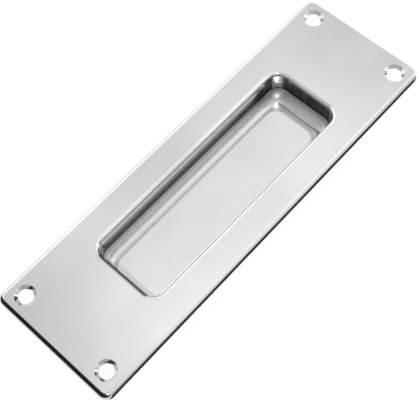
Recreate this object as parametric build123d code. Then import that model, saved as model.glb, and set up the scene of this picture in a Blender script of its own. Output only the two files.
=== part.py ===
from build123d import *
import os

# A flush pull for a door: one blank of sheet steel, with its edge turned down,
# a finger recess drawn into the middle and four countersunk screw holes.
# Millimetres. X is the width, Y the length, Z points out of the door.
# The origin is the centre of the plane where the turned edge meets the door.

# The sheet and the plate
sheet = 1.3
plate_length = 178.0
plate_width = 57.0
plate_corner = 3.5
edge_height = 3.0
edge_round = 1.8

# The drawn recess on its show side, its opening measured where the face bends in
recess_length = 106.6
recess_width = 34.2
recess_depth = 13.0
rim_round = 1.6
floor_round = 4.8
flat_floor_corner = 0.4

# The screw holes, with their centres measured in from the plate's edges
hole_inset_side = 7.7
hole_inset_end = 8.0
screw_hole_diameter = 5.8
countersink_diameter = 8.2
countersink_angle = 90.0

# Heights, walls and spacings that follow from the sizes above
face = edge_height
back = face - sheet
recess_floor = face - recess_depth
recess_underside = recess_floor - sheet
well_length = recess_length - 2 * rim_round
well_width = recess_width - 2 * rim_round
well_corner = floor_round + flat_floor_corner
hole_spacing_length = plate_length - 2 * hole_inset_end
hole_spacing_width = plate_width - 2 * hole_inset_side


def inner_bend(outer_radius):
    """The radius on the hollow side of a bend, which is one sheet less."""
    return max(outer_radius - sheet, sheet / 10)


def rounded_block(width, length, corner, top, bottom):
    """A block with rounded upright corners, from one height down to another."""
    outline = Plane.XY.offset(bottom) * RectangleRounded(width, length, corner)
    return extrude(outline, top - bottom)


def rounded_base(block, radius):
    """The block with the edges round its lower face rounded."""
    return fillet(block.faces().sort_by(Axis.Z)[0].edges(), radius)


def rounded_top(block, radius):
    """The block with the edges round its upper face rounded."""
    return fillet(block.faces().sort_by(Axis.Z)[-1].edges(), radius)


def tray():
    """The flat plate with its edge turned down all round, open at the back."""
    outside = rounded_top(
        rounded_block(plate_width, plate_length, plate_corner, face, 0), edge_round
    )
    hollow = rounded_top(
        rounded_block(
            plate_width - 2 * sheet,
            plate_length - 2 * sheet,
            plate_corner - sheet,
            back,
            0,
        ),
        inner_bend(edge_round),
    )
    return outside - hollow


def drawn_cup(tray_part):
    """The tray with the recess drawn into it, at the sheet's own thickness."""
    cup = rounded_base(
        rounded_block(
            well_width + 2 * sheet,
            well_length + 2 * sheet,
            well_corner + sheet,
            back,
            recess_underside,
        ),
        floor_round + sheet,
    )
    pocket = rounded_base(
        rounded_block(well_width, well_length, well_corner, face, recess_floor),
        floor_round,
    )
    return tray_part + cup - pocket


def level_faces(pull):
    """The flat faces of the pull that lie level, from the lowest up."""
    return pull.faces().filter_by(GeomType.PLANE).filter_by(Axis.Z).sort_by(Axis.Z)


def rounded_rim(pull):
    """The pull with both sides of the bend at the recess's rim rounded."""
    face_side = level_faces(pull)[-1]
    pull = fillet(face_side.inner_wires()[0].edges(), rim_round)
    back_side = level_faces(pull)[-2]
    return fillet(back_side.inner_wires()[0].edges(), inner_bend(rim_round))


def screw_holes(pull):
    """The pull with a countersunk hole near each corner of the plate."""
    for place in GridLocations(hole_spacing_width, hole_spacing_length, 2, 2):
        pull -= Pos(0, 0, face) * place * CounterSinkHole(
            screw_hole_diameter / 2,
            countersink_diameter / 2,
            depth=2 * sheet,
            counter_sink_angle=countersink_angle,
        )
    return pull


parts = {"flush_pull": screw_holes(rounded_rim(drawn_cup(tray())))}

os.makedirs("parts", exist_ok=True)
for name, piece in parts.items():
    export_step(piece, f"parts/{name}.step")
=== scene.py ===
import math
import bpy
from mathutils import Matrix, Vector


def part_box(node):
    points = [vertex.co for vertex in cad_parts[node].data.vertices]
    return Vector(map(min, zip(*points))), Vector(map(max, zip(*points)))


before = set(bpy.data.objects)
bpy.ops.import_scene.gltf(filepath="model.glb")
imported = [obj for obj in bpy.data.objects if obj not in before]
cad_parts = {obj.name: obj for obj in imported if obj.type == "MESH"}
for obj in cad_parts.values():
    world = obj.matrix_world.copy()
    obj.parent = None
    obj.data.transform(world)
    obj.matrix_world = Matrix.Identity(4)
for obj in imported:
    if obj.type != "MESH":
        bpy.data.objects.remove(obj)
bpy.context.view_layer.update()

# The pull: one blank of sheet steel, pressed in a die, with its edge turned down, a
# finger recess drawn into its middle and a countersunk hole punched near each corner.
# It is bright chromium plated all over and buffed along its length.
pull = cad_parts["flush_pull"]
pull_low, pull_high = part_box("flush_pull")

chromium = (0.60, 0.60, 0.61)
worn_chromium = (0.69, 0.68, 0.67)
# Painted sheen: a lighter colour for the floor bend
painted_sheen_chromium = (0.70, 0.70, 0.70)
# Painted highlight: a much lighter colour for the wall tops and the far rim's bend
painted_highlight_chromium = (0.86, 0.85, 0.84)
# Painted shade for the recess walls: grey on the sides, near black at the ends
side_wall_shade_colour = (0.27, 0.27, 0.275)
end_wall_shade_colour = (0.04, 0.04, 0.042)
# Painted shade: near black, for the ring on the floor and the line at the walls' foot
painted_shade_black = (0.02, 0.02, 0.02)

buffed_roughness = 0.07
wall_roughness = 0.05
floor_roughness = 0.13
floor_edge_roughness = 0.22
bend_roughness = 0.42
wear_roughening = 0.07

sheet = 0.0013
recess_width = 0.0342
recess_length = 0.1066
rim_round = 0.0016
floor_bend_rise = 0.0037
hole_inset_side = 0.0077
hole_inset_end = 0.0080
countersink_radius = 0.0041

face_height = pull_high.z
floor_height = pull_low.z + sheet
wall_head = face_height - rim_round
wall_foot = floor_height + floor_bend_rise
opening_half_width = recess_width / 2
opening_half_length = recess_length / 2
wall_half_width = opening_half_width - rim_round
wall_half_length = opening_half_length - rim_round
hole_across = pull_high.x - hole_inset_side
hole_along = pull_high.y - hole_inset_end

chrome = bpy.data.materials.new("polished_plate")
chrome.use_nodes = True
chrome_nodes, chrome_links = chrome.node_tree.nodes, chrome.node_tree.links
chrome_nodes.clear()
chrome_output = chrome_nodes.new("ShaderNodeOutputMaterial")
plating = chrome_nodes.new("ShaderNodeBsdfPrincipled")
plating.inputs["Metallic"].default_value = 1.0
chrome_links.new(plating.outputs[0], chrome_output.inputs["Surface"])
place = chrome_nodes.new("ShaderNodeTexCoord")
split_place = chrome_nodes.new("ShaderNodeSeparateXYZ")
chrome_links.new(place.outputs["Object"], split_place.inputs[0])


def wired(socket, value):
    """A value set on a socket, or another node's output wired to it."""
    if isinstance(value, bpy.types.NodeSocket):
        chrome_links.new(value, socket)
    else:
        socket.default_value = value


def worked(operation, *values):
    """One step of arithmetic in the plating's finish."""
    step = chrome_nodes.new("ShaderNodeMath")
    step.operation = operation
    for socket, value in zip(step.inputs, values):
        wired(socket, value)
    return step.outputs[0]


def overlap(*zones):
    """Where these zones lie over each other, weakened by any share among them."""
    shared = zones[0]
    for zone in zones[1:]:
        shared = worked("MULTIPLY", shared, zone)
    return shared


def fading(value, nothing_at, full_at, least=0.0, most=1.0):
    """How strongly a zone or mark shows, growing smoothly between two places."""
    ramp = chrome_nodes.new("ShaderNodeMapRange")
    ramp.interpolation_type = "SMOOTHSTEP"
    for name, setting in (
        ("Value", value),
        ("From Min", nothing_at),
        ("From Max", full_at),
        ("To Min", least),
        ("To Max", most),
    ):
        wired(ramp.inputs[name], setting)
    return ramp.outputs["Result"]


def grained(stretch, scale, detail):
    """Noise drawn out along some of the pull's own directions."""
    stretched = chrome_nodes.new("ShaderNodeMapping")
    stretched.inputs["Scale"].default_value = stretch
    chrome_links.new(place.outputs["Object"], stretched.inputs["Vector"])
    noise = chrome_nodes.new("ShaderNodeTexNoise")
    noise.inputs["Scale"].default_value = scale
    noise.inputs["Detail"].default_value = detail
    chrome_links.new(stretched.outputs[0], noise.inputs["Vector"])
    return noise.outputs["Fac"]


def tinted(amount, first, second):
    """One colour turning into another by an amount."""
    mix = chrome_nodes.new("ShaderNodeMix")
    mix.data_type = "RGBA"
    wired(mix.inputs["Factor"], amount)
    for name, colour in (("A", first), ("B", second)):
        socket = next(s for s in mix.inputs if s.name == name and s.type == "RGBA")
        wired(socket, (*colour, 1.0) if isinstance(colour, tuple) else colour)
    return next(s for s in mix.outputs if s.type == "RGBA")


def set_levels(ramp, stops):
    """A colour ramp set to a smooth run of grey levels."""
    ramp.color_ramp.interpolation = "EASE"
    points = ramp.color_ramp.elements
    while len(points) < len(stops):
        points.new(0.5)
    for point, (part_way, level) in zip(points, stops):
        point.position = part_way
        point.color = (level, level, level, 1.0)


across = split_place.outputs["X"]
along = split_place.outputs["Y"]
height = split_place.outputs["Z"]
from_middle_across = worked("ABSOLUTE", across)
from_middle_along = worked("ABSOLUTE", along)

# How gradually one zone of the finish passes into the next, in metres
crisp = 0.0002
bend_margin = 0.0003
soft = 0.0004
broad = 0.0006

# The recess as a whole, out to its opening in the face
in_recess = overlap(
    fading(from_middle_across, opening_half_width + crisp, opening_half_width - crisp),
    fading(from_middle_along, opening_half_length + crisp, opening_half_length - crisp),
)

# The drawn walls, with painted shade standing in for their reflection of dark surroundings:
# grey on the sides, nearly black toward both ends, bare plating in the upright corners and
# above a shade line.
far_wall_start = 0.034
far_wall_full = 0.044
near_wall_start = -0.0475
near_wall_full = -0.0500
corner_start = (0.0122, 0.0484)
shade_line_depth = 0.0039
shade_line_height = face_height - shade_line_depth
halves_border = 0.001
far_wall = fading(along, far_wall_start, far_wall_full)
near_wall = fading(along, near_wall_start, near_wall_full)
end_wall = worked("MAXIMUM", far_wall, near_wall)
in_corner = overlap(
    fading(from_middle_across, corner_start[0] - broad, corner_start[0] + broad),
    fading(from_middle_along, corner_start[1] - broad, corner_start[1] + broad),
)
end_wall_head = fading(along, -halves_border, halves_border, face_height, wall_head)
below_end_head = fading(worked("SUBTRACT", height, end_wall_head), crisp, -soft)
painted_shade_heights = worked(
    "MAXIMUM",
    fading(height, shade_line_height + broad, shade_line_height - soft),
    overlap(end_wall, below_end_head),
)
drawn_wall_and_painted_shade = overlap(
    in_recess,
    worked("SUBTRACT", 1.0, in_corner),
    fading(height, wall_foot - crisp, wall_foot),
    painted_shade_heights,
)
# Painted shadow: a dark line where the walls meet the floor's bend
foot_painted_shadow = overlap(
    in_recess,
    fading(height, wall_foot - soft, wall_foot - crisp / 2),
    fading(height, wall_foot + broad, wall_foot + broad / 2),
)

# The floor, and the satin bend that joins it to the walls, given a lighter colour as painted
# sheen.
# A wheel has left the floor's middle smoother and brighter, a little off centre; the ring
# round it, with rounded corners, is rougher and darkened with painted shade, darker still
# toward the far end.
satin_rise = 0.0014
floor_edge_start = 0.0010
buffed_middle = (0.0008, -0.0027)
buffed_half_size = (0.0105, 0.0465)
buffed_corner = 0.0045
shade_ring_width = 0.005
far_floor_shade_level = 0.24
recess_floor = overlap(in_recess, fading(height, wall_foot, wall_foot - crisp))
floor_bend = overlap(recess_floor, fading(height, floor_height, floor_height + satin_rise))
past_corner = []
for coordinate, middle, half_size in zip((across, along), buffed_middle, buffed_half_size):
    from_patch_middle = worked("ABSOLUTE", worked("SUBTRACT", coordinate, middle))
    past_straight = worked("SUBTRACT", from_patch_middle, half_size - buffed_corner)
    past_corner.append(worked("POWER", worked("MAXIMUM", past_straight, 0.0), 2.0))
from_corner_centre = worked("SQRT", worked("ADD", *past_corner))
from_patch = worked("SUBTRACT", from_corner_centre, buffed_corner)
floor_edge = overlap(recess_floor, fading(from_patch, -broad, floor_edge_start))
# Painted shade on the floor: a ring round the smoother patch, set by these levels, and a
# darker edge toward the far end
ring_shade_levels = chrome_nodes.new("ShaderNodeValToRGB")
set_levels(
    ring_shade_levels,
    [
        (0.00, 0.00),
        (0.10, 0.26),
        (0.19, 0.42),
        (0.30, 0.34),
        (0.42, 0.13),
        (0.60, 0.13),
        (0.70, 0.38),
        (0.82, 0.44),
        (0.94, 0.00),
    ],
)
chrome_links.new(worked("DIVIDE", from_patch, shade_ring_width), ring_shade_levels.inputs["Fac"])
far_floor_painted_shade = overlap(far_wall, floor_edge, far_floor_shade_level)
floor_ring_painted_shade = overlap(recess_floor, worked("MAXIMUM", ring_shade_levels.outputs["Color"], far_floor_painted_shade))

# Painted highlight: the top of the side walls and the far rim's bend get a colour much
# lighter than the plating
far_rim_fade = 0.0030
wall_top_painted_highlight = overlap(
    in_recess,
    fading(height, shade_line_height - soft, shade_line_height + broad),
    fading(height, wall_head + soft, wall_head - soft),
)
far_rim_painted_highlight = overlap(
    fading(from_middle_across, wall_half_width, wall_half_width - far_rim_fade),
    fading(along, wall_half_length, wall_half_length + soft),
    fading(height, face_height, face_height - bend_margin),
    fading(height, wall_head + bend_margin, wall_head + 2 * soft),
)
all_painted_highlights = worked("MAXIMUM", wall_top_painted_highlight, far_rim_painted_highlight)

# Fine marks: buffing lines along the plate, patches of haze, upright marks of the draw
# on the walls, wear along the rim, and a driver's slips round the holes.
buffing_lines = grained(stretch=(1.0, 0.02, 1.0), scale=2600.0, detail=3.0)
broad_lines = grained(stretch=(1.0, 0.03, 1.0), scale=420.0, detail=2.0)
haze = grained(stretch=(1.0, 0.7, 1.0), scale=48.0, detail=4.0)
draw_marks = grained(stretch=(1.0, 1.0, 0.04), scale=900.0, detail=2.0)
nicks = grained(stretch=(1.0, 1.0, 1.0), scale=1500.0, detail=1.0)
slips_start = 1.7 * countersink_radius
slips_full = 0.9 * countersink_radius
hole_offset_across = worked("POWER", worked("SUBTRACT", from_middle_across, hole_across), 2.0)
hole_offset_along = worked("POWER", worked("SUBTRACT", from_middle_along, hole_along), 2.0)
from_hole = worked("SQRT", worked("ADD", hole_offset_across, hole_offset_along))
driver_slips = overlap(
    fading(from_hole, slips_start, slips_full),
    fading(nicks, nothing_at=0.52, full_at=0.68),
)
rim_wear = overlap(
    fading(from_middle_across, opening_half_width + rim_round, opening_half_width - soft),
    fading(from_middle_along, opening_half_length + rim_round, opening_half_length - soft),
    fading(height, wall_head, face_height - bend_margin),
    fading(haze, nothing_at=0.40, full_at=0.66),
)
wear = worked("MAXIMUM", driver_slips, rim_wear)

# The colour, laid on from the bare plating up
wear_tint = 0.5
foot_shadow_strength = 0.85
haze_tint = fading(haze, nothing_at=0.3, full_at=0.7, most=0.55)
draw_tint = fading(draw_marks, nothing_at=0.3, full_at=0.7, most=0.12)
ring_shade_variation = fading(draw_marks, nothing_at=0.3, full_at=0.7, least=0.85, most=1.1)
# Painted shade on the walls, grey turning near black at the ends, streaked by the draw marks
wall_shade = tinted(end_wall, side_wall_shade_colour, end_wall_shade_colour)
wall_shade = tinted(draw_tint, wall_shade, chromium)
shade = tinted(haze_tint, chromium, worn_chromium)
for zone, colour in (
    (overlap(wear, wear_tint), worn_chromium),
    # painted sheen on the floor bend
    (floor_bend, painted_sheen_chromium),
    # painted highlight on the wall tops and far rim
    (all_painted_highlights, painted_highlight_chromium),
    # painted shade: the ring on the floor
    (overlap(floor_ring_painted_shade, ring_shade_variation), painted_shade_black),
    # painted shade on the recess walls
    (drawn_wall_and_painted_shade, wall_shade),
    # painted shadow at the walls' foot
    (overlap(foot_painted_shadow, foot_shadow_strength), painted_shade_black),
):
    shade = tinted(zone, shade, colour)
chrome_links.new(shade, plating.inputs["Base Color"])

# The roughness, as the buffing wheel left it, changed zone by zone
line_roughness = fading(buffing_lines, nothing_at=0.3, full_at=0.7, least=-0.012, most=0.016)
haze_roughness = fading(haze, nothing_at=0.35, full_at=0.7, most=0.03)
roughness = worked("ADD", worked("ADD", buffed_roughness, line_roughness), haze_roughness)
for zone, change in (
    (wear, wear_roughening),
    (recess_floor, floor_roughness - buffed_roughness),
    (drawn_wall_and_painted_shade, wall_roughness - buffed_roughness),
    (floor_edge, floor_edge_roughness - floor_roughness),
    (floor_bend, bend_roughness - floor_edge_roughness),
):
    roughness = worked("ADD", roughness, overlap(zone, change))
chrome_links.new(roughness, plating.inputs["Roughness"])

# The grain: lines and draw marks that stand up a little, and slips cut into the face
grain_strength = 0.35
grain_depth = 0.000004
fine_line_share = 0.5
draw_mark_share = 2.0
slip_share = 1.5
grain_height = worked("ADD", overlap(buffing_lines, fine_line_share), broad_lines)
grain_height = worked("ADD", grain_height, overlap(draw_marks, drawn_wall_and_painted_shade, draw_mark_share))
grain_height = worked("SUBTRACT", grain_height, overlap(driver_slips, slip_share))
grain = chrome_nodes.new("ShaderNodeBump")
grain.inputs["Strength"].default_value = grain_strength
grain.inputs["Distance"].default_value = grain_depth
chrome_links.new(grain_height, grain.inputs["Height"])
chrome_links.new(grain.outputs[0], plating.inputs["Normal"])

for slot in pull.material_slots:
    slot.material = chrome

# The photographer's table: a plain white sheet of paper, on which the pull lies on the
# underside of its recess. The paper shows white to the camera and in the metal, and
# keeps the pull's soft shadow.
table_size = 3.0
table_gap = 0.00002
paper_white = (0.93, 0.93, 0.93, 1.0)
shown_white = 1.08
shown_share = 0.80
bpy.ops.mesh.primitive_plane_add(size=table_size, location=(0, 0, pull_low.z - table_gap))
table = bpy.context.object
table.name = "table"
paper = bpy.data.materials.new("table_paper")
paper.use_nodes = True
paper_nodes, paper_links = paper.node_tree.nodes, paper.node_tree.links
paper_nodes.clear()
paper_output = paper_nodes.new("ShaderNodeOutputMaterial")
bare_paper = paper_nodes.new("ShaderNodeBsdfDiffuse")
bare_paper.inputs["Color"].default_value = paper_white
lit_paper = paper_nodes.new("ShaderNodeEmission")
lit_paper.inputs["Strength"].default_value = shown_white
paper_ray = paper_nodes.new("ShaderNodeLightPath")
shown = paper_ray.outputs["Is Camera Ray"]
for kind in ("Is Glossy Ray", "Is Transmission Ray"):
    either = paper_nodes.new("ShaderNodeMath")
    either.operation = "ADD"
    either.use_clamp = True
    paper_links.new(shown, either.inputs[0])
    paper_links.new(paper_ray.outputs[kind], either.inputs[1])
    shown = either.outputs[0]
lit_share = paper_nodes.new("ShaderNodeMath")
lit_share.operation = "MULTIPLY"
lit_share.inputs[1].default_value = shown_share
paper_links.new(shown, lit_share.inputs[0])
paper_mix = paper_nodes.new("ShaderNodeMixShader")
paper_links.new(lit_share.outputs[0], paper_mix.inputs["Fac"])
paper_links.new(bare_paper.outputs[0], paper_mix.inputs[1])
paper_links.new(lit_paper.outputs[0], paper_mix.inputs[2])
paper_links.new(paper_mix.outputs[0], paper_output.inputs["Surface"])
table.data.materials.append(paper)

# Two strips of black card, as used for bright metal: they give the turned-down edges
# their dark outline. One lies on the table beside the near long edge, and a small one
# leans over the fold of the near end. They show only in the metal.
board_black = (0.02, 0.02, 0.02, 1.0)
board_roughness = 0.8
end_card_length = 0.075
end_card_width = 0.0042
end_card_lean = 58.6
end_card_inset = 0.0002
end_card_rise = 0.0007
side_card_width = 0.30
side_card_lift = 0.0002
past_far_end = 0.15
black_board = bpy.data.materials.new("card_black")
black_board.use_nodes = True
black_surface = black_board.node_tree.nodes["Principled BSDF"]
black_surface.inputs["Base Color"].default_value = board_black
black_surface.inputs["Roughness"].default_value = board_roughness


def strip_of_card(name, middle, size, lean, board):
    """A flat strip of card that shows only as a reflection."""
    bpy.ops.mesh.primitive_plane_add(
        size=1, location=middle, rotation=(math.radians(lean), 0.0, 0.0)
    )
    strip = bpy.context.object
    strip.name = name
    strip.scale = (*size, 1.0)
    strip.visible_camera = False
    strip.visible_diffuse = False
    strip.visible_shadow = False
    strip.data.materials.append(board)
    return strip


for name, middle, size, lean in (
    (
        "side_card",
        (
            pull_high.x + side_card_width / 2,
            past_far_end / 2,
            pull_low.z + side_card_lift,
        ),
        (side_card_width, pull_high.y - pull_low.y + past_far_end),
        0.0,
    ),
    (
        "end_card",
        (0.0, pull_low.y + end_card_inset, pull_high.z + end_card_rise),
        (end_card_length, end_card_width),
        end_card_lean,
    ),
):
    card = strip_of_card(name, middle, size, lean, black_board)

# A low strip of white card, which stands upright on the table just beyond the far end
# and lights that fold. It shows only in the metal too.
board_white = (0.9, 0.9, 0.9, 1.0)
glow_white = (1.0, 1.0, 1.0, 1.0)
far_card_gap = 0.004
far_card_top = 0.008
upright = 90.0
white_board = bpy.data.materials.new("card_white")
white_board.use_nodes = True
white_surface = white_board.node_tree.nodes["Principled BSDF"]
white_surface.inputs["Base Color"].default_value = board_white
white_surface.inputs["Emission Color"].default_value = glow_white
white_surface.inputs["Emission Strength"].default_value = 1.0
far_card = strip_of_card(
    "far_card",
    (0.0, pull_high.y + far_card_gap, (pull_low.z + far_card_top) / 2),
    (end_card_length, far_card_top - pull_low.z),
    upright,
    white_board,
)

# The light tent: pale cloth lit from outside, dimmer where it opens for the camera and
# nearly black low down beyond the far end. A soft lamp hangs beside the camera. Behind
# the pull the camera itself sees plain white.
tent_strength = 2.25
toward_opening = (0.72, -0.69, 0.0)
toward_lamp = (0.47, -0.33, 0.82)
lamp_rim = 0.985
lamp_middle = 0.992
lamp_level = 2.2
tent = bpy.data.worlds.new("light_tent")
bpy.context.scene.world = tent
tent.use_nodes = True
tent_nodes, tent_links = tent.node_tree.nodes, tent.node_tree.links
tent_nodes.clear()
direction = tent_nodes.new("ShaderNodeTexCoord")
split_direction = tent_nodes.new("ShaderNodeSeparateXYZ")
tent_links.new(direction.outputs["Generated"], split_direction.inputs[0])


def facing(way):
    """How nearly a direction in the tent points one way."""
    nearness = tent_nodes.new("ShaderNodeVectorMath")
    nearness.operation = "DOT_PRODUCT"
    nearness.inputs[1].default_value = way
    tent_links.new(direction.outputs["Generated"], nearness.inputs[0])
    return nearness.outputs["Value"]


def cloth_run(source, stops):
    """A smooth run of light levels along one direction of the tent, from -1 to 1."""
    spread = tent_nodes.new("ShaderNodeMath")
    spread.operation = "MULTIPLY_ADD"
    spread.inputs[1].default_value = 0.5
    spread.inputs[2].default_value = 0.5
    tent_links.new(source, spread.inputs[0])
    ramp = tent_nodes.new("ShaderNodeValToRGB")
    set_levels(ramp, [((position + 1) / 2, level) for position, level in stops])
    tent_links.new(spread.outputs[0], ramp.inputs["Fac"])
    return ramp.outputs["Color"]


def joined(operation, first, second):
    """Two runs of light levels multiplied or added."""
    step = tent_nodes.new("ShaderNodeVectorMath")
    step.operation = operation
    tent_links.new(first, step.inputs[0])
    tent_links.new(second, step.inputs[1])
    return step.outputs[0]


length_run = cloth_run(
    split_direction.outputs["Y"],
    [
        (-1.0, 0.60),
        (-0.6, 0.60),
        (-0.3, 0.88),
        (-0.1, 0.75),
        (0.05, 0.75),
        (0.19, 1.00),
        (0.31, 0.92),
        (0.42, 1.00),
        (0.53, 0.76),
        (0.84, 1.00),
        (0.92, 0.04),
        (1.0, 0.03),
    ],
)
width_run = cloth_run(
    split_direction.outputs["X"],
    [
        (-1.0, 0.78),
        (-0.62, 0.95),
        (-0.43, 0.51),
        (-0.26, 0.62),
        (0.0, 0.72),
        (0.3, 1.00),
        (0.6, 0.85),
        (0.8, 0.70),
        (1.0, 0.70),
    ],
)
opening_run = cloth_run(
    facing(toward_opening),
    [
        (-1.0, 0.77),
        (-0.5, 0.95),
        (-0.25, 1.00),
        (0.0, 0.58),
        (0.2, 0.69),
        (0.45, 0.71),
        (0.7, 0.52),
        (1.0, 0.42),
    ],
)
lamp = tent_nodes.new("ShaderNodeMapRange")
lamp.interpolation_type = "SMOOTHSTEP"
lamp.inputs["From Min"].default_value = lamp_rim
lamp.inputs["From Max"].default_value = lamp_middle
lamp.inputs["To Max"].default_value = lamp_level
tent_links.new(facing(toward_lamp), lamp.inputs["Value"])
cloth_levels = joined("MULTIPLY", joined("MULTIPLY", length_run, width_run), opening_run)
tent_levels = joined("ADD", cloth_levels, lamp.outputs["Result"])
cloth = tent_nodes.new("ShaderNodeBackground")
cloth.inputs["Strength"].default_value = tent_strength
tent_links.new(tent_levels, cloth.inputs["Color"])
plain_white = tent_nodes.new("ShaderNodeBackground")
plain_white.inputs["Color"].default_value = (1.0, 1.0, 1.0, 1.0)
tent_ray = tent_nodes.new("ShaderNodeLightPath")
tent_mix = tent_nodes.new("ShaderNodeMixShader")
tent_output = tent_nodes.new("ShaderNodeOutputWorld")
tent_links.new(tent_ray.outputs["Is Camera Ray"], tent_mix.inputs["Fac"])
tent_links.new(cloth.outputs[0], tent_mix.inputs[1])
tent_links.new(plain_white.outputs[0], tent_mix.inputs[2])
tent_links.new(tent_mix.outputs[0], tent_output.inputs["Surface"])

# The camera, fitted to the photo by the plate's outline, the recess and the four holes.
# It stands above the near right corner and looks down on the face.
camera = bpy.data.objects.new("camera", bpy.data.cameras.new("camera"))
bpy.context.scene.collection.objects.link(camera)
bpy.context.scene.camera = camera
camera.location = (0.11718, -0.11197, 0.30936)
camera.rotation_euler = (0.46183, 0.04768, 0.74061)
camera.data.sensor_fit = "HORIZONTAL"
camera.data.sensor_width = 36.0
camera.data.lens = 78.617
camera.data.clip_start = 0.01
bpy.context.scene.view_settings.view_transform = "Standard"
